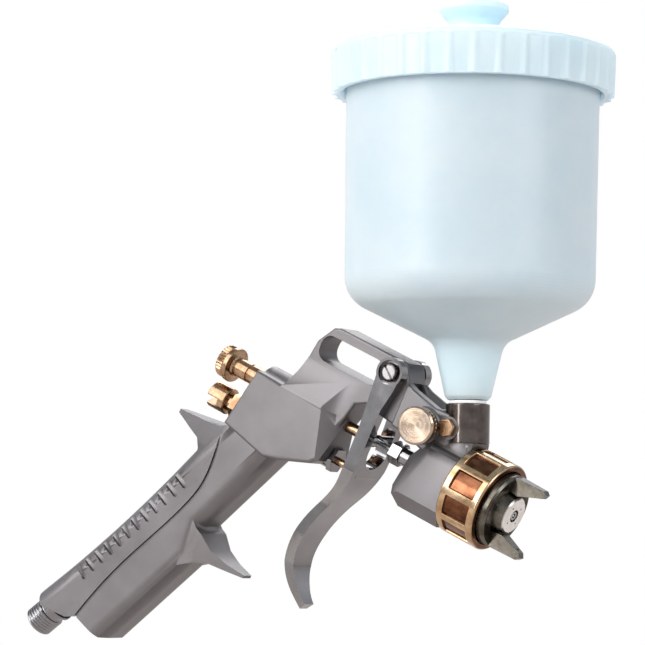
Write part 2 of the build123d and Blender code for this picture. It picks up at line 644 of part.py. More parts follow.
def retaining_ring():
    """Brass ring with a rim at each end and recessed windows between raised bars."""
    solid = turned([(RING_X0, RING_BORE), (RING_X0, RING_R - 0.4), (RING_X0 + 0.4, RING_R),
                    (RING_X1 - 0.8, RING_R), (RING_X1, RING_R - 0.8), (RING_X1, LIP_BORE), (13.7, LIP_BORE),
                    (13.7, RING_BORE)])
    band = turned([(1.7, RING_R - WINDOW_DEPTH), (1.7, RING_R + 2), (13.0, RING_R + 2),
                   (13.0, RING_R - WINDOW_DEPTH)])
    for bar in ring_of(Pos(7.4, 0, RING_R) * Box(14, 2.8, 6), RING_WINDOWS):
        band = band - bar
    return solid - band


def air_cap():
    """Air cap with a raised middle, a dished face and two opposed horns."""
    shell = turned([(10.2, 12.8), (10.2, 15.7), (13.4, 15.7), (13.4, CAP_NOSE_R), (18.6, CAP_NOSE_R),
                    (19.4, CAP_NOSE_R - 0.8), (19.2, 13.0), (17.8, 10.6), (18.4, 8.4), (22.3, 7.4), (23.0, 6.7),
                    (23.0, 2.5), (20.6, 2.5), (20.6, 4.5), (16.2, 8.4), (14.6, 12.8)])
    horn = slab([(16.4, 9.4), (17.2, 14.2), (31.2, 14.2), (32.6, 13.0), (31.6, 11.2), (22.6, 8.0), (18.6, 8.4)],
                HORN_HALF)
    taper = make_face(Polyline((14, -HORN_HALF), (14, HORN_HALF), (20, HORN_HALF), (33, 1.7), (33, -1.7),
                               (20, -HORN_HALF), close=True))
    horn = horn & extrude(Plane.XY * taper, 40, both=True)
    jet = Pos(29.4, 0, 11.0) * Rot(0, -40, 0) * Cylinder(0.6, 8)
    feed = rod(12.0, 29.2, 1.1, 12.2)
    shell = shell + horn + Rot(180, 0, 0) * horn
    for turn in (0, 180):
        shell = shell - Rot(turn, 0, 0) * feed - Rot(turn, 0, 0) * jet
    for hole in ring_of(Pos(0, 0, 4.2) * rod(19, 25, 0.35), 4):
        shell = shell - Rot(45, 0, 0) * hole
    return shell


# ------------------------------------------------------------------ cup
def cup_adapter():
    """Upright steel tube between the head and the cup."""
    return turned_up([(3.2, 9.6), (5.15, 9.6), (5.15, ADAPTER_Z0), (ADAPTER_R - 0.4, ADAPTER_Z0),
                      (ADAPTER_R, ADAPTER_Z0 + 0.4), (ADAPTER_R, ADAPTER_Z1), (5.5, ADAPTER_Z1), (5.5, 45.0),
                      (4.9, 45.6), (3.2, 45.6)])


def cup_washer():
    return turned_up([(5.55, ADAPTER_Z1), (7.2, ADAPTER_Z1), (7.2, ADAPTER_Z1 + 1.2), (5.55, ADAPTER_Z1 + 1.2)])


def cup():
    """Plastic cup: straight tank, coned bottom and a threaded neck."""
    outside = (Polyline((NECK_R_END - 1.2, CUP_END_Z), (NECK_R_END, CUP_END_Z + 1.4), (NECK_R_TOP, 53.6))
               + ThreePointArc((NECK_R_TOP, 53.6), (14.8, 56.6), (18.2, 58.6))
               + Polyline((18.2, 58.6), (40.7, 69.4))
               + ThreePointArc((40.7, 69.4), (46.0, 74.2), (CUP_R_LOW, 81.1))
               + Polyline((CUP_R_LOW, 81.1), (CUP_R_TOP, 150.6), (CUP_R_TOP, CUP_RIM_Z),
                          (CUP_R_TOP - CUP_WALL, CUP_RIM_Z), (CUP_R_TOP - CUP_WALL, 150.6),
                          (CUP_R_LOW - CUP_WALL, 81.1))
               + ThreePointArc((CUP_R_LOW - CUP_WALL, 81.1), (44.5, 75.2), (39.9, 71.0))
               + Polyline((39.9, 71.0), (16.8, 59.9))
               + ThreePointArc((16.8, 59.9), (13.4, 58.0), (11.4, 54.6))
               + Polyline((11.4, 54.6), (5.55, 47.4), (5.55, CUP_END_Z), (NECK_R_END - 1.2, CUP_END_Z)))
    return revolve(Plane.XZ * make_face(outside), Axis.Z)


def cup_strainer():
    """Basket strainer standing in the neck of the cup."""
    basket = turned_up([(5.2, 48.4), (6.0, 48.4), (7.6, 62.0), (8.8, 64.4), (8.8, 65.4), (7.2, 65.4), (6.6, 62.4)])
    for i in range(8):
        window = Rot(0, 0, 45 * i) * Pos(6.6, 0, 56.0) * Box(5, 2.4, 8.5)
        basket = basket - window
    floor = turned_up([(0, 48.4), (5.4, 48.4), (5.4, 49.2), (0, 49.2)])
    return basket + floor


def lid():
    """Screw lid with shallow flutes round its skirt."""
    wall = 3.0
    skirt = turned_up([(LID_R - wall - 1.2, LID_Z0), (LID_R - 0.8, LID_Z0), (LID_R - 0.4, LID_Z0 + 0.5),
                       (LID_R, LID_Z1 - 2.4), (LID_R - 2.2, LID_Z1), (0, LID_Z1), (0, LID_Z1 - 2.4),
                       (49.6, LID_Z1 - 2.4), (49.6, LID_Z0 + 1.4)])
    for i in range(LID_FLUTES):
        flute = Rot(0, 0, 360 / LID_FLUTES * i) * Pos(LID_R + 10.6, 0, LID_Z0 - 3.0)
        cutter = Cylinder(11.6, 15.0, align=(Align.CENTER, Align.CENTER, Align.MIN))
        skirt = skirt - flute * cutter
    return skirt - turned_up([(0, 160), (4.1, 160), (4.1, 180), (0, 180)])


def lid_gasket():
    return turned_up([(45.6, CUP_RIM_Z + 0.1), (49.0, CUP_RIM_Z + 0.1), (49.0, LID_Z1 - 2.7), (45.6, LID_Z1 - 2.7)])


def vent_plug():
    """Spool-shaped vent plug pushed into the lid."""
    base = LID_Z1 + 0.1
    return turned_up([(0, 163.0), (3.4, 163.0), (4.05, 164.0), (4.05, base), (11.6, base), (11.8, base + 2.0),
                      (10.0, 176.4), (9.6, 179.6), (10.6, 182.6), (VENT_R, 185.2), (VENT_R, 187.0),
                      (VENT_R - 1.2, 188.0), (10.2, 188.6), (9.4, 188.0), (0, 188.0)])


# ------------------------------------------------------------------ nodes
def build():
    keep("gun_body", gun_body())
    keep("inlet_fitting", inlet_fitting())
    keep("inlet_filter", inlet_filter())
    keep("trigger", trigger())
    keep("trigger_screw", trigger_screw())
    keep("trigger_nut", trigger_nut())
    keep("fluid_needle", fluid_needle())
    keep("needle_sleeve", needle_sleeve())
    keep("needle_spring_seat", needle_spring_seat())
    keep("needle_spring", needle_spring())
    keep("fluid_bush", fluid_bush())
    keep("fluid_knob", fluid_knob())
    keep("fluid_knob_seat", fluid_knob_seat())
    keep("needle_packing", needle_packing())
    keep("gland_nut", gland_nut())
    keep("air_valve_stem", air_valve_stem())
    keep("air_valve_seal", air_valve_seal())
    keep("air_valve_seat", air_valve_seat())
    keep("air_packing_nut", air_packing_nut())
    keep("air_packing", air_packing())
    keep("air_spring", air_spring())
    keep("air_screw_bush", air_screw_bush())
    keep("air_screw", air_screw())
    keep("air_screw_ring", o_ring(-103.0, 2.8, 0.82, AIR_Z))
    keep("fan_valve_body", fan_valve_body())
    keep("fan_knob", fan_knob())
    keep("fan_seal", fan_seal())
    keep("adapter_lock_screw", adapter_lock_screw())
    keep("fluid_nozzle", fluid_nozzle())
    keep("air_baffle", air_baffle())
    keep("ring_clip", ring_clip())
    keep("retaining_ring", retaining_ring())
    keep("air_cap", air_cap())
    keep("cup_adapter", cup_adapter(), CUP)
    keep("cup_washer", cup_washer(), CUP)
    keep("cup", cup(), CUP)
    keep("cup_strainer", cup_strainer(), CUP)
    keep("lid", lid(), CUP)
    keep("lid_gasket", lid_gasket(), CUP)
    keep("vent_plug", vent_plug(), CUP)
    for name, shape in NODES.items():
        export_step(shape, "parts/%s.step" % name)


build()
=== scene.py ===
"""Looks for a gravity-feed spray gun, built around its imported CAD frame.

A piece's lengths are millimetres in one of two frames: the gun's own frame (x forward
along the needle, y to the off side, z up) or the upright frame of the cup.  A Place
carries such lengths into the row frame in metres.  Lengths in materials, lights and the
floor are metres.
"""
import json
import math

import bmesh
import bpy
import numpy as np
from mathutils import Matrix, Vector


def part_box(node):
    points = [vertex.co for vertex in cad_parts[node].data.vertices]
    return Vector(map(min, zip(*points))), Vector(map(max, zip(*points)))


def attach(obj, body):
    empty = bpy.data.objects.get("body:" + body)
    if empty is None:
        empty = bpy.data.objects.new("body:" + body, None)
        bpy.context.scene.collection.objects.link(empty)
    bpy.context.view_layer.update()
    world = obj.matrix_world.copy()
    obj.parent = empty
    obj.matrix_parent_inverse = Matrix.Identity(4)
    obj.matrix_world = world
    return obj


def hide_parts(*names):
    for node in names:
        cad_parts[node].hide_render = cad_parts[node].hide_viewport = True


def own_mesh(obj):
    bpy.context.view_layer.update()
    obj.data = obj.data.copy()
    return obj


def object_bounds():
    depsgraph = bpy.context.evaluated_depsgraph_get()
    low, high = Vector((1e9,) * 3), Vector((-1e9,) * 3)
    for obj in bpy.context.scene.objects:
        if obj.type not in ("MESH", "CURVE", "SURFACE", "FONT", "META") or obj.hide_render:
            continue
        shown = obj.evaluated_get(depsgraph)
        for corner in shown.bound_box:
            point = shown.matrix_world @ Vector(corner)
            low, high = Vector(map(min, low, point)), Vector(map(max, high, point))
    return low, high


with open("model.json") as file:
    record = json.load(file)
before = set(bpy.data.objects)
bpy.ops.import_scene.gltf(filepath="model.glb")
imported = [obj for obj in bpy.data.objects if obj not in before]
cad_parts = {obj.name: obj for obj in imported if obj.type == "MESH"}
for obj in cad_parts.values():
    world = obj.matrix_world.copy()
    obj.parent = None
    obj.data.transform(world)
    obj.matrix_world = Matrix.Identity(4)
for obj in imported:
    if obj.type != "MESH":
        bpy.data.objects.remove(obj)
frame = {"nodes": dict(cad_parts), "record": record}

cad_low, cad_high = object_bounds()

MM = 0.001
PITCH = math.radians(24.8)          # nose-down angle of the gun under a level cup
CUP_END_Z = 34.5                    # lower end of the cup above the needle axis
AIR_Z = -14.3                       # air valve axis below the needle axis
MERGE_DISTANCE = 2e-7               # metres between points of a new piece that become one
SLIVER_LENGTH = 1e-7                # metres below which an edge of a new piece is dissolved
CAD_MERGE_DISTANCE = 1e-6           # metres between points of a copied CAD node that become one
FLAT_ANGLE = 0.6                    # degrees within which the faces of a CAD copy are joined
BEVEL_ANGLE = 28.0                  # degrees across an edge of a CAD copy that is rounded
BEVEL_SEGMENTS = 2
SHARP_ANGLE = 33.0                  # degrees across an edge that stays sharp in shading

NODES = frame["nodes"]
BODIES = frame["record"]["behaviour"]["bodies"]
BODY_OF = {node: body for body, members in BODIES.items() for node in members}
SLOT_OF = {row["node"]: row["material_slot"] for row in frame["record"]["subparts"]}


# ---------------------------------------------------------------- places
class Place:
    """An origin (metres, row frame) and three axes as matrix columns."""

    def __init__(self, origin, x_axis, y_axis, z_axis):
        self.origin = np.asarray(origin, float)
        self.axes = np.array([x_axis, y_axis, z_axis], float).T

    def put(self, points):
        """Points in millimetres along the axes, as metres in the row frame."""
        return self.origin + MM * np.asarray(points, float) @ self.axes.T

    def on(self, point, z_axis, x_axis):
        """A place at a point of this one, whose z runs along z_axis and x near x_axis."""
        z = np.asarray(z_axis, float) / np.linalg.norm(z_axis)
        x = np.asarray(x_axis, float) - np.dot(x_axis, z) * z
        x /= np.linalg.norm(x)
        turned = self.axes @ np.array([x, np.cross(z, x), z]).T
        return Place(self.put(point), *turned.T)


cup_low, cup_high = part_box("cup")
CROSS = np.array([(cup_low[0] + cup_high[0]) / 2, 0.0, cup_low[2] - CUP_END_Z * MM])
FORWARD = (math.cos(PITCH), 0.0, -math.sin(PITCH))
UPWARD = (math.sin(PITCH), 0.0, math.cos(PITCH))
GUN = Place(CROSS, FORWARD, (0, 1, 0), UPWARD)
UPRIGHT = Place(CROSS, (1, 0, 0), (0, 1, 0), (0, 0, 1))
NEEDLE_AXIS = GUN.on((0, 0, 0), (1, 0, 0), (0, 1, 0))
AIR_AXIS = GUN.on((0, 0, AIR_Z), (1, 0, 0), (0, 1, 0))
FAN_CANT = math.radians(10.0)
FAN_AXIS = GUN.on((-21.6, -18.0, 16.4), (math.sin(FAN_CANT), -math.cos(FAN_CANT), 0), (0, 0, 1))
LOCK_AXIS = GUN.on((-13.0, -8.8, 19.8), (0, -1, 0), (0, 0, 1))
INLET_SEAT = (-156.6, 0.0, -125.6)
AIR_CHAMBER = (-93.0, 0.0, AIR_Z)
INLET_AXIS = GUN.on(INLET_SEAT, np.subtract(INLET_SEAT, AIR_CHAMBER), (0, 1, 0))
PIVOT_AXIS = GUN.on((-44.9, 0.0, 28.8), (0, -1, 0), (0, 0, 1))


# ---------------------------------------------------------------- meshes
def new_piece(name, verts, faces, body, slot, replaces=()):
    """Mesh object from arrays, smooth but for its sharp corners, riding a body."""
    mesh = bpy.data.meshes.new(name)
    mesh.from_pydata(verts.tolist(), [], faces.tolist())
    piece = bpy.data.objects.new(name, mesh)
    bpy.context.scene.collection.objects.link(piece)
    tidy = bmesh.new()
    tidy.from_mesh(mesh)
    bmesh.ops.remove_doubles(tidy, verts=tidy.verts, dist=MERGE_DISTANCE)
    bmesh.ops.dissolve_degenerate(tidy, edges=tidy.edges, dist=SLIVER_LENGTH)
    bmesh.ops.recalc_face_normals(tidy, faces=tidy.faces)
    tidy.to_mesh(mesh)
    tidy.free()
    finish_piece(piece, body, slot, replaces)
    return piece


def finish_piece(piece, body, slot, replaces=()):
    """Shade a piece, give it its material, its body and the CAD nodes it stands for."""
    piece.data.polygons.foreach_set("use_smooth", np.ones(len(piece.data.polygons), bool))
    piece.data.set_sharp_from_angle(angle=math.radians(SHARP_ANGLE))
    piece.data.materials.clear()
    piece.data.materials.append(MATERIALS[slot])
    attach(piece, body)
    if replaces:
        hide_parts(*replaces)


def grid_faces(rows, columns, wrap_rows, wrap_columns):
    """Quads of a rows x columns grid of points, closed round either way."""
    i = np.arange(rows if wrap_rows else rows - 1)
    j = np.arange(columns if wrap_columns else columns - 1)
    a, b = np.meshgrid(i, j, indexing="ij")
    a2, b2 = (a + 1) % rows, (b + 1) % columns
    corners = [a * columns + b, a2 * columns + b, a2 * columns + b2, a * columns + b2]
    return np.stack(corners, -1).reshape(-1, 4)


def rounded(points, step=15.0, hold=0.12):
    """Outline with rounded corners, from (r, h, corner radius) points in order.

    Each corner becomes a circular arc tangent to its two sides, with one point per step
    degrees, and each straight side gets a point just inside both ends so that shading
    stays flat between the arcs.
    """
    pts = np.array([p[:2] for p in points], float)
    radii = [p[2] if len(p) > 2 else 0.0 for p in points]
    out = [pts[0]]
    for i in range(1, len(pts) - 1):
        back, ahead = pts[i - 1] - pts[i], pts[i + 1] - pts[i]
        lb, la = np.linalg.norm(back), np.linalg.norm(ahead)
        ub, ua = back / lb, ahead / la
        turn = math.pi - math.acos(np.clip(np.dot(ub, ua), -1, 1))
        cut = min(radii[i] * math.tan(turn / 2), 0.48 * lb, 0.48 * la)
        if radii[i] <= 0 or turn < 0.02 or cut < 1e-4:
            out.append(pts[i])
            continue
        radius = cut / math.tan(turn / 2)
        middle = pts[i] + (ub + ua) / np.linalg.norm(ub + ua) * radius / math.cos(turn / 2)
        first, last = pts[i] + ub * cut, pts[i] + ua * cut
        count = max(2, int(math.degrees(turn) / step) + 1)
        a0 = math.atan2(*(first - middle)[::-1])
        a1 = math.atan2(*(last - middle)[::-1])
        sweep = (a1 - a0 + math.pi) % (2 * math.pi) - math.pi
        angles = a0 + sweep * np.linspace(0, 1, count + 1)
        out += list(middle + radius * np.stack([np.cos(angles), np.sin(angles)], -1))
    out.append(pts[-1])
    held = [out[0]]
    for p, q in zip(out[:-1], out[1:]):
        length = np.linalg.norm(q - p)
        if length > 4 * hold:
            held += [p + (q - p) * hold / length, q - (q - p) * hold / length]
        held.append(q)
    return np.array(held)


def divided(outline, longest):
    """Outline with extra points, evenly spaced, so that no side is longer than given."""
    out = [outline[:1]]
    for p, q in zip(outline[:-1], outline[1:]):
        count = max(1, math.ceil(np.linalg.norm(q - p) / longest))
        out.append(p + (q - p) * (np.arange(1, count + 1) / count)[:, None])
    return np.concatenate(out)


def lathe(name, points, place, body, slot, replaces=(), around=96, shape=None, step=15.0, longest=None):
    """Surface of revolution: a rounded (r, h) outline carried round the place's z axis.

    around is a number of even steps, or the angles themselves.  shape(theta, r, h) may
    change the radius over the grid of angle and outline.  An outline that starts and
    ends at one point closes on itself.
    """
    outline = rounded(points, step)
    if longest:
        outline = divided(outline, longest)
    closed = np.allclose(outline[0], outline[-1])
    if closed:
        outline = outline[:-1]
    if np.ndim(around) == 0:
        around = np.linspace(0, 2 * math.pi, around, endpoint=False)
    theta = np.asarray(around)[:, None]
    around = len(theta)
    r = np.broadcast_to(outline[:, 0], (around, len(outline)))
    h = np.broadcast_to(outline[:, 1], (around, len(outline)))
    if shape:
        r = shape(theta, r, h)
    grid = np.stack([r * np.cos(theta), r * np.sin(theta), h], -1).reshape(-1, 3)
    faces = grid_faces(around, len(outline), True, closed)
    return new_piece(name, place.put(grid), faces, body, slot, replaces)


def smooth_step(x, low, high):
    """0 below low, 1 above high, with a smooth cubic between."""
    t = np.clip((x - low) / (high - low), 0, 1)
    return t * t * (3 - 2 * t)


def knurl(count, depth, low, high, rim):
    """Radius rule of straight knurling: ridges of a triangle wave between two heights."""
    def shape(theta, r, h):
        wave = np.abs((theta * count / (2 * math.pi)) % 1 - 0.5) * 2
        on = smooth_step(h, low, low + 0.4) * (1 - smooth_step(h, high - 0.4, high)) * (r > rim - 0.3)
        return r - depth * wave * on
    return shape


def refined(node, name, slot, width):
    """Detailed copy of a CAD node: merged, flat faces joined, and, where a width in
    millimetres is given, its corners rounded."""
    mesh = NODES[node].data.copy()
    piece = bpy.data.objects.new(name, mesh)
    bpy.context.scene.collection.objects.link(piece)
    tidy = bmesh.new()
    tidy.from_mesh(mesh)
    bmesh.ops.remove_doubles(tidy, verts=tidy.verts, dist=CAD_MERGE_DISTANCE)
    bmesh.ops.dissolve_limit(tidy, angle_limit=math.radians(FLAT_ANGLE), verts=tidy.verts, edges=tidy.edges)
    tidy.to_mesh(mesh)
    tidy.free()
    if width:
        bevel = piece.modifiers.new("corner", "BEVEL")
        bevel.width = width * MM
        bevel.segments = BEVEL_SEGMENTS
        bevel.limit_method = "ANGLE"
        bevel.angle_limit = math.radians(BEVEL_ANGLE)
        bevel.harden_normals = False
        bevel.use_clamp_overlap = True
    level = piece.modifiers.new("level_shading", "WEIGHTED_NORMAL")
    level.keep_sharp = True
    finish_piece(piece, BODY_OF[node], slot, (node,))


# ---------------------------------------------------------------- shader groups
def group(name, inputs, outputs):
    """Empty shader group with named sockets; inputs are (name, type, default)."""
    tree = bpy.data.node_groups.new(name, "ShaderNodeTree")
    for label, kind, default in inputs:
        socket = tree.interface.new_socket(label, in_out="INPUT", socket_type=kind)
        if default is not None:
            socket.default_value = default
    for label, kind in outputs:
        tree.interface.new_socket(label, in_out="OUTPUT", socket_type=kind)
    return tree, tree.nodes.new("NodeGroupInput"), tree.nodes.new("NodeGroupOutput")


def math_node(tree, operation, a, b=None):
    """Math node with sockets or numbers as inputs; returns its output."""
    node = tree.nodes.new("ShaderNodeMath")
    node.operation = operation
    for socket, value in zip(node.inputs, (a, b)):
        if value is None:
            continue
        if isinstance(value, (int, float)):
            socket.default_value = value
        else:
            tree.links.new(value, socket)
    return node.outputs[0]


def weighted_sum(tree, a, share_a, b, share_b):
    """Two values, each times its share, added."""
    first = math_node(tree, "MULTIPLY", a, share_a)
    return math_node(tree, "ADD", first, math_node(tree, "MULTIPLY", b, share_b))


def axis_distance(tree, parts):
    """Distance from the z axis, sqrt(x^2 + y^2), from a Separate XYZ node."""
    across = [math_node(tree, "MULTIPLY", parts.outputs[i], parts.outputs[i]) for i in (0, 1)]
    return math_node(tree, "SQRT", math_node(tree, "ADD", *across))


def noise(tree, vector, scale, detail, roughness, scale_socket=None):
    """Noise value over a vector, at so many cycles per metre."""
    node = tree.nodes.new("ShaderNodeTexNoise")
    node.inputs["Scale"].default_value = scale
    node.inputs["Detail"].default_value = detail
    node.inputs["Roughness"].default_value = roughness
    tree.links.new(vector, node.inputs["Vector"])
    if scale_socket is not None:
        tree.links.new(scale_socket, node.inputs["Scale"])
    return node.outputs["Fac"]


def ramp(tree, value, stops):
    """Colour ramp over a value, from (position, colour) stops."""
    node = tree.nodes.new("ShaderNodeValToRGB")
    bands = node.color_ramp.elements
    while len(bands) < len(stops):
        bands.new(0.5)
    for band, (position, colour) in zip(bands, stops):
        band.position = position
        band.color = (*colour, 1.0)
    tree.links.new(value, node.inputs["Fac"])
    return node.outputs["Color"]


def grain_group():
    """Blasted metal: a fine pitted height and a slow, blotchy tone."""
    tree, given, out = group("blasted_grain", [("Vector", "NodeSocketVector", None),
                                               ("Grains per metre", "NodeSocketFloat", 2600.0)],
                             [("Height", "NodeSocketFloat"), ("Tone", "NodeSocketFloat")])
    fine = noise(tree, given.outputs["Vector"], 2600, 3.0, 0.65, given.outputs["Grains per metre"])
    pits = noise(tree, given.outputs["Vector"], 900, 2.0, 0.5)
    slow = noise(tree, given.outputs["Vector"], 42, 3.0, 0.55)
    height = weighted_sum(tree, fine, 0.7, pits, 0.3)
    tone = weighted_sum(tree, slow, 0.75, fine, 0.25)
    tree.links.new(height, out.inputs["Height"])
    tree.links.new(tone, out.inputs["Tone"])
    return tree


def turning_group():
    """Lathe marks: fine rings about the local z axis, broken up a little by noise."""
    tree, given, out = group("turning_marks", [("Vector", "NodeSocketVector", None),
                                               ("Rings per metre", "NodeSocketFloat", 2200.0)],
                             [("Height", "NodeSocketFloat"), ("Haze", "NodeSocketFloat")])
    parts = tree.nodes.new("ShaderNodeSeparateXYZ")
    tree.links.new(given.outputs["Vector"], parts.inputs[0])
    along = math_node(tree, "ADD", axis_distance(tree, parts), parts.outputs[2])
    line = tree.nodes.new("ShaderNodeCombineXYZ")
    tree.links.new(math_node(tree, "MULTIPLY", along, given.outputs["Rings per metre"]), line.inputs[0])
    rings = tree.nodes.new("ShaderNodeTexNoise")
    rings.inputs["Scale"].default_value = 1.0
    rings.inputs["Detail"].default_value = 3.0
    tree.links.new(line.outputs[0], rings.inputs["Vector"])
    haze = noise(tree, given.outputs["Vector"], 160, 3.0, 0.6)
    tree.links.new(rings.outputs["Fac"], out.inputs["Height"])
    tree.links.new(haze, out.inputs["Haze"])
    return tree


def polish_group():
    """Polished plate: faint waviness and a smudged haze."""
    tree, given, out = group("polish", [("Vector", "NodeSocketVector", None)],
                             [("Height", "NodeSocketFloat"), ("Haze", "NodeSocketFloat")])
    wave = noise(tree, given.outputs["Vector"], 120, 2.0, 0.4)
    haze = noise(tree, given.outputs["Vector"], 70, 4.0, 0.6)
    tree.links.new(wave, out.inputs["Height"])
    tree.links.new(haze, out.inputs["Haze"])
    return tree


GROUPS = {"blasted_grain": grain_group(), "turning_marks": turning_group(), "polish": polish_group()}


class Finish:
    """A material being built: its tree, its Principled shader and coordinates of a place."""

    def __init__(self, name, place, **values):
        self.material = bpy.data.materials.new(name)
        self.material.use_nodes = True
        self.tree = self.material.node_tree
        self.shader = self.tree.nodes["Principled BSDF"]
        for socket, value in values.items():
            self.shader.inputs[socket.replace("_", " ")].default_value = value
        coords = self.tree.nodes.new("ShaderNodeTexCoord")
        mapping = self.tree.nodes.new("ShaderNodeMapping")
        back = Matrix(place.axes.tolist()).transposed()
        mapping.inputs["Rotation"].default_value = back.to_euler()
        mapping.inputs["Location"].default_value = -(back @ Vector(place.origin))
        self.link(coords.outputs["Object"], mapping.inputs["Vector"])
        self.vector = mapping.outputs["Vector"]

    def link(self, a, b):
        self.tree.links.new(a, b)

    def group(self, name, **values):
        """Place a shared group, feed it the coordinates and set its own values."""
        node = self.tree.nodes.new("ShaderNodeGroup")
        node.node_tree = GROUPS[name]
        self.link(self.vector, node.inputs["Vector"])
        for socket, value in values.items():
            node.inputs[socket.replace("_", " ")].default_value = value
        return node.outputs

    def bump(self, height, strength, distance):
        """Bump from a height, into the shader's normal."""
        node = self.tree.nodes.new("ShaderNodeBump")
        node.inputs["Strength"].default_value = strength
        node.inputs["Distance"].default_value = distance
        self.link(height, node.inputs["Height"])
        self.link(node.outputs["Normal"], self.shader.inputs["Normal"])

    def colour(self, value, *stops):
        self.link(ramp(self.tree, value, stops), self.shader.inputs["Base Color"])

    def radius_mask(self, low, high):
        """0 nearer the place's z axis than low, 1 beyond high, in metres."""
        parts = self.tree.nodes.new("ShaderNodeSeparateXYZ")
        self.link(self.vector, parts.inputs[0])
        node = self.tree.nodes.new("ShaderNodeMapRange")
        node.inputs["From Min"].default_value = low
        node.inputs["From Max"].default_value = high
        self.link(axis_distance(self.tree, parts), node.inputs["Value"])
        return node.outputs["Result"]

    def mixed(self, mask, a, b):
        """Colour a where the mask is 0, b where it is 1."""
        node = self.tree.nodes.new("ShaderNodeMix")
        node.data_type = "RGBA"
        self.link(mask, node.inputs["Factor"])
        self.link(a, node.inputs["A"])
        self.link(b, node.inputs["B"])
        return node.outputs["Result"]

    def roughness(self, value, low, high):
        """Roughness from low to high over a mask around its middle."""
        node = self.tree.nodes.new("ShaderNodeMapRange")
        node.inputs["From Min"].default_value = 0.3
        node.inputs["From Max"].default_value = 0.7
        node.inputs["To Min"].default_value = low
        node.inputs["To Max"].default_value = high
        self.link(value, node.inputs["Value"])
        self.link(node.outputs["Result"], self.shader.inputs["Roughness"])


def cast_aluminium():
    f = Finish("cast_aluminium", GUN, Metallic=0.82)
    grain = f.group("blasted_grain")
    f.colour(grain["Tone"], (0.30, (0.128, 0.119, 0.119)), (0.5, (0.155, 0.147, 0.150)),
             (0.70, (0.180, 0.173, 0.180)))
    f.roughness(grain["Tone"], 0.40, 0.48)
    f.bump(grain["Height"], 0.35, 0.00016)
    return f.material


def chrome(name="chrome", tint=(0.25, 0.245, 0.25), low=0.07, high=0.17):
    f = Finish(name, GUN, Metallic=1.0)
    plate = f.group("polish")
    dark = tuple(0.86 * c for c in tint)
    f.colour(plate["Haze"], (0.35, dark), (0.65, tint))
    f.roughness(plate["Haze"], low, high)
    f.bump(plate["Height"], 0.05, 0.0004)
    return f.material


def turned_metal(name, place, deep, bright, low, high, rings=2200.0, strength=0.16, depth=0.00006):
    """Turned metal whose lathe marks run about a place's z axis."""
    f = Finish(name, place, Metallic=1.0)
    marks = f.group("turning_marks", Rings_per_metre=rings)
    f.colour(marks["Haze"], (0.34, deep), (0.62, bright))
    f.roughness(marks["Haze"], low, high)
    f.bump(marks["Height"], strength, depth)
    return f.material


def brass(name, place):
    return turned_metal(name, place, (0.26, 0.145, 0.08), (0.44, 0.30, 0.19), 0.16, 0.27)


def milky_plastic():
    f = Finish("milky_plastic", UPRIGHT, Subsurface_Weight=0.55, Subsurface_Scale=0.02, IOR=1.46)
    f.shader.inputs["Transmission Weight"].default_value = 0.18
    f.shader.inputs["Subsurface Radius"].default_value = (0.8, 1.0, 1.2)
    cloud = noise(f.tree, f.vector, 26, 4.0, 0.6)
    speck = noise(f.tree, f.vector, 700, 2.0, 0.5)
    f.colour(cloud, (0.35, (0.60, 0.82, 0.96)), (0.65, (0.68, 0.88, 0.99)))
    f.roughness(cloud, 0.30, 0.42)
    f.bump(speck, 0.04, 0.0002)
    return f.material


def rubber():
    f = Finish("rubber", GUN)
    grain = f.group("blasted_grain", Grains_per_metre=1500.0)
    f.colour(grain["Tone"], (0.3, (0.018, 0.018, 0.019)), (0.7, (0.045, 0.045, 0.047)))
    f.roughness(grain["Tone"], 0.6, 0.8)
    f.bump(grain["Height"], 0.2, 0.0001)
    return f.material


def white_seal():
    f = Finish("white_seal", GUN)
    grain = f.group("blasted_grain", Grains_per_metre=900.0)
    f.colour(grain["Tone"], (0.3, (0.74, 0.74, 0.71)), (0.7, (0.86, 0.86, 0.84)))
    f.roughness(grain["Tone"], 0.4, 0.55)
    f.bump(grain["Height"], 0.1, 0.0001)
    return f.material


def ring_brass():
    """Polished brass whose recessed windows are coloured a darker copper brown."""
    f = Finish("brass_ring", NEEDLE_AXIS, Metallic=1.0)
    marks = f.group("turning_marks", Rings_per_metre=1500.0)
    bright = ramp(f.tree, marks["Haze"], ((0.34, (0.34, 0.21, 0.11)), (0.62, (0.56, 0.40, 0.25))))
    dull = ramp(f.tree, marks["Haze"], ((0.34, (0.065, 0.024, 0.012)), (0.62, (0.17, 0.070, 0.036))))
    depth = f.radius_mask(0.0168, 0.0173)
    f.link(f.mixed(depth, dull, bright), f.shader.inputs["Base Color"])
    f.roughness(marks["Haze"], 0.09, 0.18)
    f.bump(marks["Height"], 0.12, 0.00006)
    return f.material


def cap_nickel():
    """Dark nickel, with the middle of the cap's face painted bright as a highlight on its boss."""
    f = Finish("nickel_cap", NEEDLE_AXIS, Metallic=1.0)
    marks = f.group("turning_marks", Rings_per_metre=2600.0)
    dark = ramp(f.tree, marks["Haze"], ((0.34, (0.055, 0.047, 0.038)), (0.62, (0.13, 0.12, 0.10))))
    # painted highlight: inside the rim mask the cap's face is coloured bright, standing in for the light that
    # the boss catches
    bright = ramp(f.tree, marks["Haze"], ((0.34, (0.66, 0.63, 0.60)), (0.62, (0.80, 0.78, 0.76))))
    rim = f.radius_mask(0.0068, 0.0074)
    f.link(f.mixed(rim, bright, dark), f.shader.inputs["Base Color"])
    f.roughness(marks["Haze"], 0.18, 0.30)
    f.bump(marks["Height"], 0.15, 0.00006)
    return f.material


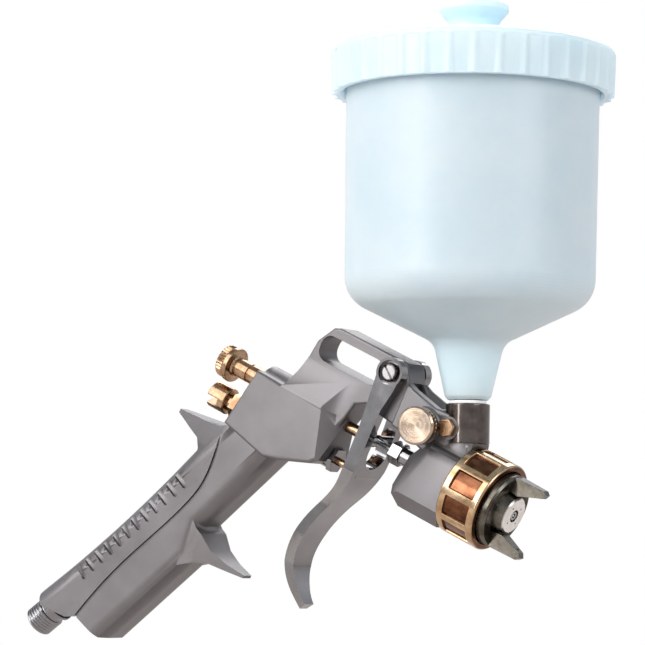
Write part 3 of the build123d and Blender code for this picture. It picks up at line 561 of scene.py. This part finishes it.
def screw_chrome():
    """Chromed screw head with a bright middle and a near-black rim, painted shade of the recess round the
    head.
    """
    f = Finish("chrome_screw", PIVOT_AXIS, Metallic=1.0)
    plate = f.group("polish")
    bright = ramp(f.tree, plate["Haze"], ((0.35, (0.52, 0.50, 0.49)), (0.65, (0.70, 0.69, 0.69))))
    # painted shade: beyond 2.4-3.0 mm from the pivot axis the head is coloured near-black, standing in for
    # shade in the recess round it
    painted_shade = ramp(f.tree, plate["Haze"], ((0.35, (0.02, 0.017, 0.015)), (0.65, (0.05, 0.042, 0.038))))
    f.link(f.mixed(f.radius_mask(0.0024, 0.0030), bright, painted_shade), f.shader.inputs["Base Color"])
    f.roughness(plate["Haze"], 0.10, 0.20)
    f.bump(plate["Height"], 0.05, 0.0004)
    return f.material


STEEL = ((0.26, 0.26, 0.265), (0.42, 0.42, 0.43))
NICKEL = ((0.075, 0.060, 0.055), (0.13, 0.11, 0.10))
MATERIALS = {
    "cast_aluminium": cast_aluminium(),
    "chrome": chrome(),
    "chrome.screw": screw_chrome(),
    "chrome.dark": chrome("chrome_dark", (0.10, 0.085, 0.075), 0.10, 0.22),
    "brass.ring": ring_brass(),
    "nickel.cap": cap_nickel(),
    "brass": brass("brass", NEEDLE_AXIS),
    "brass.air": brass("brass_air_axis", AIR_AXIS),
    "brass.fan": turned_metal("brass_spun", FAN_AXIS, (0.34, 0.26, 0.19), (0.44, 0.36, 0.29), 0.12, 0.18,
                              rings=5500.0, strength=1.0, depth=0.00014),
    "brass.lock": brass("brass_lock_axis", LOCK_AXIS),
    "nickel": turned_metal("nickel", NEEDLE_AXIS, *NICKEL, 0.16, 0.28),
    "nickel.upright": turned_metal("nickel_upright", UPRIGHT, *NICKEL, 0.09, 0.17),
    "steel": turned_metal("steel", NEEDLE_AXIS, *STEEL, 0.22, 0.34),
    "milky_plastic": milky_plastic(),
    "rubber": rubber(),
    "white_seal": white_seal(),
}


# ---------------------------------------------------------------- cup, lid and vent
LID_R = 55.0                        # crests of the lid's scalloped skirt
LID_LOW = 151.8                     # lower and upper edge of the lid above the needle axis
LID_HIGH = 170.2
LID_FLUTES = 36
FLUTE_DEPTH = 1.25
CUP_THREAD_PITCH = 4.0
CUP_THREAD_HEIGHT = 0.55


def make_cup():
    """Tank, cone and neck as one wall turned about the upright axis."""
    points = [(7.7, 34.5), (8.9, 35.9, 0.8), (13.6, 56.3, 7.0), (48.0, 73.0, 13.0), (48.8, 150.6, 0.3),
              (48.8, 166.0, 0.7), (47.0, 166.0, 0.7), (47.0, 150.6, 0.3), (46.2, 74.2, 11.2),
              (12.0, 57.6, 5.0), (5.55, 47.4, 1.0), (5.55, 34.5, 0.4), (7.7, 34.5)]

    def threads(theta, r, h):
        """Two turns of a rounded thread outside the rim, under the lid."""
        rise = CUP_THREAD_PITCH * theta / (2 * math.pi)
        phase = (h - 156.0 - rise) % CUP_THREAD_PITCH - CUP_THREAD_PITCH / 2
        on = smooth_step(h, 155.0, 156.5) * (1 - smooth_step(h, 162.5, 164.0)) * (r > 48.5)
        return r + CUP_THREAD_HEIGHT * on * np.exp(-(phase / 0.7) ** 2)

    lathe("cup_tank", points, UPRIGHT, "cup", "milky_plastic", ("cup",), around=160, shape=threads, step=6.0)


def make_lid():
    """Lid turned about the upright axis; the skirt's radius dips in a row of shallow scallops."""
    points = [(50.8, LID_LOW + 0.2), (54.5, LID_LOW, 0.6), (LID_R, LID_HIGH - 1.5, 2.6),
              (50.5, LID_HIGH, 1.5), (30.0, LID_HIGH - 0.6, 0.8), (14.5, LID_HIGH - 0.6, 0.4),
              (13.9, LID_HIGH, 0.4), (4.1, LID_HIGH, 0.3), (4.1, 167.8, 0.3), (49.6, 167.8, 1.0),
              (49.6, LID_LOW + 1.6, 0.5), (50.8, LID_LOW + 0.2)]

    def scallops(theta, r, h):
        """Broad hollow between narrow ridges: depth times (1 - |cos|^p), fading into the top edge."""
        wave = np.abs(np.cos(theta * LID_FLUTES / 2)) ** 9
        on = (1 - smooth_step(h, LID_HIGH - 4.6, LID_HIGH - 2.6)) * smooth_step(r, 52.5, 54.0)
        return r - FLUTE_DEPTH * on * (1 - wave)

    lathe("lid_shell", points, UPRIGHT, "lid", "milky_plastic", ("lid",), around=LID_FLUTES * 16,
          shape=scallops, step=10.0)


def make_vent():
    """Spool-shaped vent plug."""
    base = LID_HIGH + 0.1
    points = [(0, 163.0), (3.4, 163.0, 0.3), (4.05, 164.0, 0.3), (4.05, base, 0.1), (11.6, base, 0.4),
              (11.8, base + 2.2, 0.8), (9.9, 176.2, 4.0), (9.7, 180.4, 4.0), (13.5, 184.9, 1.0),
              (13.5, 187.2, 0.9), (11.6, 188.0, 0.8), (10.2, 188.0, 0.3), (9.6, 187.2, 0.3), (0, 187.2)]
    lathe("vent_spool", points, UPRIGHT, "vent", "milky_plastic", ("vent_plug",), around=96, step=8.0)


make_cup()
make_lid()
make_vent()


# ---------------------------------------------------------------- turned metal pieces
def make_retaining_ring():
    """Ring with two rims and recessed windows: the groove in the outline is filled up to
    the rim's radius wherever a bar stands, with a short ramp at each side of the bar."""
    low, high = -1.1, 16.0
    outer, deep = 17.6, 16.6
    bars = 10
    half_bar = math.radians(4.4)
    ramp_width = math.radians(1.1)
    points = [(16.0, low), (outer, low, 0.5), (outer, 1.7, 0.35), (deep, 1.75, 0.15), (deep, 12.95, 0.15),
              (outer, 13.0, 0.35), (outer, high, 0.9), (15.0, high, 0.4), (15.0, 13.7, 0.2),
              (16.0, 13.7, 0.1), (16.0, low)]
    pitch = 2 * math.pi / bars
    steps = np.concatenate([np.linspace(-half_bar, half_bar, 5),
                            half_bar + ramp_width * np.array([0.25, 0.5, 0.75, 1]),
                            np.linspace(half_bar + ramp_width, pitch - half_bar - ramp_width, 9)[1:],
                            pitch - half_bar - ramp_width * np.array([0.75, 0.5, 0.25])])
    angles = (steps[None] + pitch * np.arange(bars)[:, None]).ravel()

    def windows(theta, r, h):
        """Distance past a bar's side, as a 0..1 ramp, mixes the groove and the rim radius."""
        off = np.abs((theta + pitch / 2) % pitch - pitch / 2) - half_bar
        bar = 1 - smooth_step(off, 0, ramp_width)
        return np.where((h > 1.0) & (h < 13.6) & (r > deep - 0.05), r + bar * (outer - r), r)

    lathe("retaining_ring_windowed", points, NEEDLE_AXIS, "retaining_ring", "brass.ring", ("retaining_ring",),
          around=angles, shape=windows)


def make_fluid_knob():
    """Knurled head, flange and waisted shank of the rear fluid adjuster."""
    points = [(0, -125.0), (5.7, -125.0, 0.7), (6.7, -124.2, 0.5), (6.7, -120.9, 0.2), (7.2, -120.7, 0.3),
              (7.2, -118.7, 0.4), (4.4, -118.6, 0.4), (3.9, -117.8, 0.3), (3.9, -111.1, 0.15),
              (3.4, -110.95, 0.1), (3.4, -110.25, 0.1), (3.9, -110.1, 0.15), (3.9, -98.4, 0.4),
              (0, -98.4)]
    lathe("fluid_knob_knurled", points, NEEDLE_AXIS, "fluid_knob", "brass", ("fluid_knob",), around=240,
          shape=knurl(30, 0.5, -124.4, -121.0, 6.7), longest=0.8)


def make_fan_knob():
    """Spun face, knurled rim and tapered stem of the fan valve's knob."""
    points = [(0, 0.0), (6.6, 0.0, 0.3), (7.4, -0.7, 0.35), (7.4, -4.3, 0.3), (6.9, -4.6, 0.2),
              (2.6, -4.6, 0.4), (2.5, -9.3, 0.1), (2.1, -9.7, 0.1), (2.1, -16.4, 0.2), (0.9, -20.0, 0.1),
              (0, -20.0)]
    lathe("fan_knob_spun", points, FAN_AXIS, "fan_knob", "brass.fan", ("fan_knob",), around=240,
          shape=knurl(30, 0.45, -4.2, -0.9, 7.4), longest=0.6)


def make_inlet_fitting():
    """Shoulder, neck and threaded barrel of the air inlet."""
    end = 13.4
    pitch = 1.337
    depth = 0.36
    points = [(3.8, -10.6), (5.98, -10.6, 0.2), (5.98, -0.1, 0.1), (7.2, 0.0, 0.3), (7.2, 1.2, 0.3),
              (5.5, 1.9, 0.4), (5.5, 4.7, 0.4), (6.1, 4.85, 0.2), (6.58, 5.5, 0.2), (6.58, 12.7, 0.2),
              (5.88, end, 0.3), (3.8, end, 0.4), (3.8, -10.6)]

    def thread(theta, r, h):
        """Helical groove: depth is a rounded saw wave of height minus a turn's advance."""
        phase = (h / pitch - theta / (2 * math.pi)) % 1
        on = smooth_step(h, 5.4, 6.4) * (1 - smooth_step(h, 11.9, 12.9)) * (r > 6.3)
        return r - depth * on * (0.5 - 0.5 * np.cos(2 * math.pi * phase)) ** 1.5

    lathe("inlet_fitting_threaded", points, INLET_AXIS, "gun", "chrome", ("inlet_fitting",), around=96,
          shape=thread, longest=0.17)


def make_cup_adapter():
    """Upright tube between the head and the cup."""
    points = [(3.2, 9.6), (5.15, 9.6, 0.1), (5.15, 17.5, 0.1), (8.5, 17.6, 0.4), (8.5, 33.0, 0.5),
              (5.6, 33.0, 0.1), (5.5, 45.0, 0.1), (4.9, 45.6, 0.1), (3.2, 45.6), (3.2, 9.6)]
    lathe("cup_adapter_tube", points, UPRIGHT, "gun", "nickel.upright", ("cup_adapter",), around=96)


def make_spring(node, name, place, ends, radius, turns):
    """Coil spring: round wire carried along a helix.

    The wire's middle is (R cos t, R sin t, h) with h rising evenly over the turns, and its
    surface is a circle about that line in the plane of the inward normal and the binormal.
    """
    wire = 0.45                     # radius of the wire
    steps, sides = 24, 10           # steps in a turn, and sides of the wire
    low, high = ends[0] + wire, ends[1] - wire
    t = np.linspace(0, 2 * math.pi * turns, turns * steps + 1)[:, None]
    v = np.linspace(0, 2 * math.pi, sides, endpoint=False)[None, :]
    rise = (high - low) / (2 * math.pi * turns)
    middle = np.stack([radius * np.cos(t), radius * np.sin(t), low + rise * t], -1)
    along = np.stack([-radius * np.sin(t), radius * np.cos(t), np.full_like(t, rise)], -1)
    along /= np.linalg.norm(along, axis=-1, keepdims=True)
    inward = np.stack([-np.cos(t), -np.sin(t), np.zeros_like(t)], -1)
    aside = np.cross(along, inward)
    tube = middle + wire * (np.cos(v)[..., None] * inward + np.sin(v)[..., None] * aside)
    closed = np.concatenate([np.repeat(middle[:1], sides, 1), tube, np.repeat(middle[-1:], sides, 1)])
    spring = new_piece(name, place.put(closed.reshape(-1, 3)), grid_faces(len(closed), sides, False, True),
                       BODY_OF[node], SLOT_OF[node], (node,))
    tuple(place.put((0, 0, ends[0])))
    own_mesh(spring)


make_spring("needle_spring", "needle_return_spring", NEEDLE_AXIS, (-95.8, -78.1), 2.9, 7)
make_spring("air_spring", "air_return_spring", AIR_AXIS, (-97.0, -81.8), 3.2, 6)
make_retaining_ring()
make_fluid_knob()
make_fan_knob()
make_inlet_fitting()
make_cup_adapter()


# ---------------------------------------------------------------- pieces refined from the CAD
REFINED = {
    "gun_body": ("casting", "cast_aluminium", 0.0),
    "trigger": ("trigger_lever", "chrome", 1.0),
    "trigger_screw": ("trigger_screw_slotted", "chrome.screw", 0.15),
    "trigger_nut": ("trigger_nut_domed", "chrome.dark", 0.0),
    "air_cap": ("air_cap_horned", "nickel.cap", 0.3),
    "air_screw": ("air_screw_slotted", "brass.air", 0.2),
    "air_screw_bush": ("air_screw_bush_hexagon", "brass.air", 0.25),
    "fan_valve_body": ("fan_valve_body_hexagon", "brass.fan", 0.2),
    "adapter_lock_screw": ("adapter_lock_screw_hexagon", "brass.lock", 0.2),
    "gland_nut": ("gland_nut_hexagon", "chrome", 0.2),
    "air_packing_nut": ("air_packing_nut_hexagon", "chrome", 0.2),
    "needle_sleeve": ("needle_sleeve_flanged", "brass", 0.1),
    "air_valve_stem": ("air_valve_stem_tipped", "brass", 0.1),
    "fluid_nozzle": ("fluid_nozzle_tip", "steel", 0.1),
    "cup_washer": ("cup_washer_flat", "white_seal", 0.1),
}
for node, (name, slot, width) in REFINED.items():
    refined(node, name, slot, width)
for node, slot in SLOT_OF.items():
    if not NODES[node].hide_render:
        NODES[node].data.materials.clear()
        NODES[node].data.materials.append(MATERIALS[slot])


# ---------------------------------------------------------------- stage, light and camera
FLOOR_RADIUS = 2.4
FLOOR_SIDES = 96
FLOOR_DROP = 0.16                   # below the lowest point of the gun
CAMERA_PLACE = (528.5, -922.8, -26.2)
CAMERA_LENS = 155.2
CAMERA_SENSOR = 36.0


def make_stage():
    """Round floor below the hanging gun: pale to the camera, darker and warmer to every other ray, a painted
    darker reflection and bounce from below.
    """
    angles = np.linspace(0, 2 * math.pi, FLOOR_SIDES, endpoint=False)
    level = np.full(FLOOR_SIDES, cad_low[2] - FLOOR_DROP)
    verts = np.stack([FLOOR_RADIUS * np.cos(angles), FLOOR_RADIUS * np.sin(angles), level], -1)
    mesh = bpy.data.meshes.new("floor")
    mesh.from_pydata(verts.tolist(), [], [list(range(FLOOR_SIDES))])
    floor = bpy.data.objects.new("floor", mesh)
    bpy.context.scene.collection.objects.link(floor)
    paint = bpy.data.materials.new("floor_paint")
    paint.use_nodes = True
    tree = paint.node_tree
    tree.nodes["Principled BSDF"].inputs["Roughness"].default_value = 0.9
    # painted reflection: rays not from the camera see a darker, warmer floor, so metals reflect a brown floor
    # that the camera sees pale
    path = tree.nodes.new("ShaderNodeLightPath")
    tint = ramp(tree, path.outputs["Is Camera Ray"], ((0.0, (0.66, 0.61, 0.57)), (1.0, (0.82, 0.81, 0.80))))
    tree.links.new(tint, tree.nodes["Principled BSDF"].inputs["Base Color"])
    mesh.materials.append(paint)


def soft_light(name, azimuth, elevation, distance, size, power, tint=(1, 1, 1)):
    """Softbox of a width and height in metres, aimed at the middle of the object."""
    middle = (cad_low + cad_high) / 2
    a, e = math.radians(azimuth), math.radians(elevation)
    back = Vector((math.sin(a) * math.cos(e), -math.cos(a) * math.cos(e), math.sin(e)))
    lamp = bpy.data.lights.new(name, "AREA")
    lamp.shape = "RECTANGLE"
    lamp.size, lamp.size_y = size
    lamp.energy = power
    lamp.color = tint
    box = bpy.data.objects.new(name, lamp)
    box.location = middle + back * distance
    box.rotation_euler = (-back).to_track_quat("-Z", "Y").to_euler()
    bpy.context.scene.collection.objects.link(box)


def make_world():
    """Studio light: warm and dim from below, brightest just above the horizon, and grey
    overhead.  The camera itself sees plain white."""
    world = bpy.data.worlds.new("studio")
    world.use_nodes = True
    tree = world.node_tree
    coords = tree.nodes.new("ShaderNodeTexCoord")
    parts = tree.nodes.new("ShaderNodeSeparateXYZ")
    tree.links.new(coords.outputs["Generated"], parts.inputs[0])
    height = math_node(tree, "ADD", math_node(tree, "MULTIPLY", parts.outputs[2], 0.5), 0.5)
    light = ramp(tree, height, ((0.0, (0.40, 0.35, 0.32)), (0.40, (0.56, 0.50, 0.46)),
                                (0.50, (0.78, 0.77, 0.78)), (0.62, (0.98, 1.00, 1.06)),
                                (0.80, (0.55, 0.56, 0.60)), (1.0, (0.36, 0.37, 0.40))))
    path = tree.nodes.new("ShaderNodeLightPath")
    seen = tree.nodes.new("ShaderNodeBackground")
    felt = tree.nodes["Background"]
    tree.links.new(light, felt.inputs["Color"])
    mix = tree.nodes.new("ShaderNodeMixShader")
    tree.links.new(path.outputs["Is Camera Ray"], mix.inputs[0])
    tree.links.new(felt.outputs[0], mix.inputs[1])
    seen.inputs["Color"].default_value = (1, 1, 1, 1)
    tree.links.new(seen.outputs[0], mix.inputs[2])
    tree.links.new(mix.outputs[0], tree.nodes["World Output"].inputs["Surface"])
    bpy.context.scene.world = world


def make_camera():
    """Camera below the cup's rim, a third of the way round to the nozzle, rolled a little."""
    azimuth, elevation, roll = math.radians(32.83), math.radians(-4.81), math.radians(1.16)
    back = Vector((math.sin(azimuth) * math.cos(elevation), -math.cos(azimuth) * math.cos(elevation),
                   math.sin(elevation)))
    level = Vector((math.cos(azimuth), math.sin(azimuth), 0))
    above = back.cross(level)
    right = level * math.cos(roll) + above * math.sin(roll)
    up = above * math.cos(roll) - level * math.sin(roll)
    lens = bpy.data.cameras.new("camera")
    lens.sensor_width = CAMERA_SENSOR
    lens.lens = CAMERA_LENS
    lens.clip_start = 0.05
    lens.clip_end = 30.0
    camera = bpy.data.objects.new("camera", lens)
    place = Vector(UPRIGHT.put(CAMERA_PLACE))
    camera.matrix_world = Matrix(((right.x, up.x, back.x, place.x), (right.y, up.y, back.y, place.y),
                                  (right.z, up.z, back.z, place.z), (0, 0, 0, 1)))
    bpy.context.scene.collection.objects.link(camera)
    bpy.context.scene.camera = camera


make_stage()
make_world()
soft_light("key", azimuth=-25, elevation=32, distance=2.0, size=(2.0, 2.0), power=40, tint=(1.0, 0.99, 0.98))
soft_light("strip", azimuth=-16, elevation=6, distance=1.6, size=(0.22, 1.4), power=7)
soft_light("front_fill", azimuth=80, elevation=20, distance=2.0, size=(1.0, 1.0), power=14,
           tint=(0.97, 0.98, 1.0))
soft_light("back_rim", azimuth=200, elevation=45, distance=2.0, size=(1.2, 1.2), power=18)
make_camera()
bpy.context.scene.view_settings.view_transform = "Standard"
